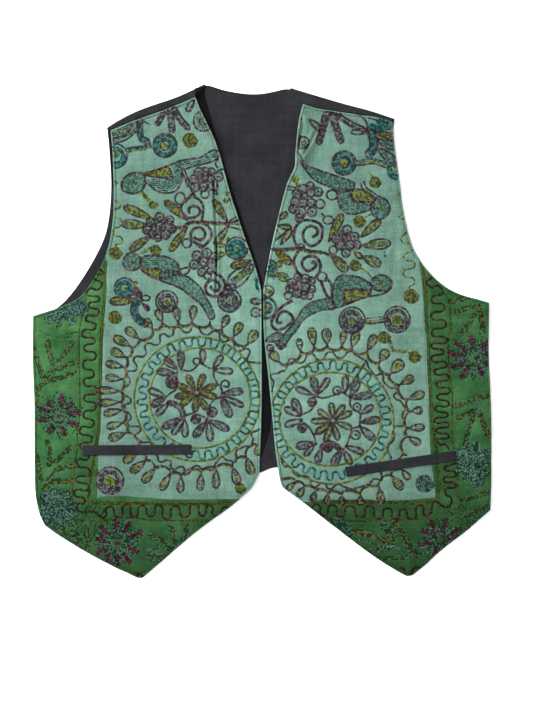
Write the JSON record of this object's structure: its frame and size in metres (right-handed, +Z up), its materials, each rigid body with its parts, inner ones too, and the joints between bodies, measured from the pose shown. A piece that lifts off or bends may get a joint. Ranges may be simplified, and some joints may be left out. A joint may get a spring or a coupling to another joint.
{
  "type": "embroidered waistcoat",
  "caption": "Sleeveless open-fronted waistcoat laid flat, front up, with pointed hems, contrasting borders, pocket welts and a plain back.",
  "frame": {"origin": "on the surface it lies on, under the middle of the garment's box", "axes": "+Z up out of the fronts, +Y towards the neck, +X towards the wearer's left"},
  "size_m": [0.553, 0.5952, 0.0072],
  "materials": {
    "field_cloth": "matt plain-weave sea-green cotton",
    "border_cloth": "matt plain-weave green cotton",
    "charcoal_cloth": "matt charcoal lining cotton",
    "thread": "soft sheen of stranded embroidery thread"
  },
  "bodies": {
    "root": {"back": "charcoal_cloth", "front_right_centre": "field_cloth", "front_right_side_border": "border_cloth", "front_right_hem_border": "border_cloth", "front_left_centre": "field_cloth", "front_left_side_border": "border_cloth", "front_left_hem_border": "border_cloth", "welt_right": "charcoal_cloth", "welt_left": "charcoal_cloth"}
  },
  "joints": []
}
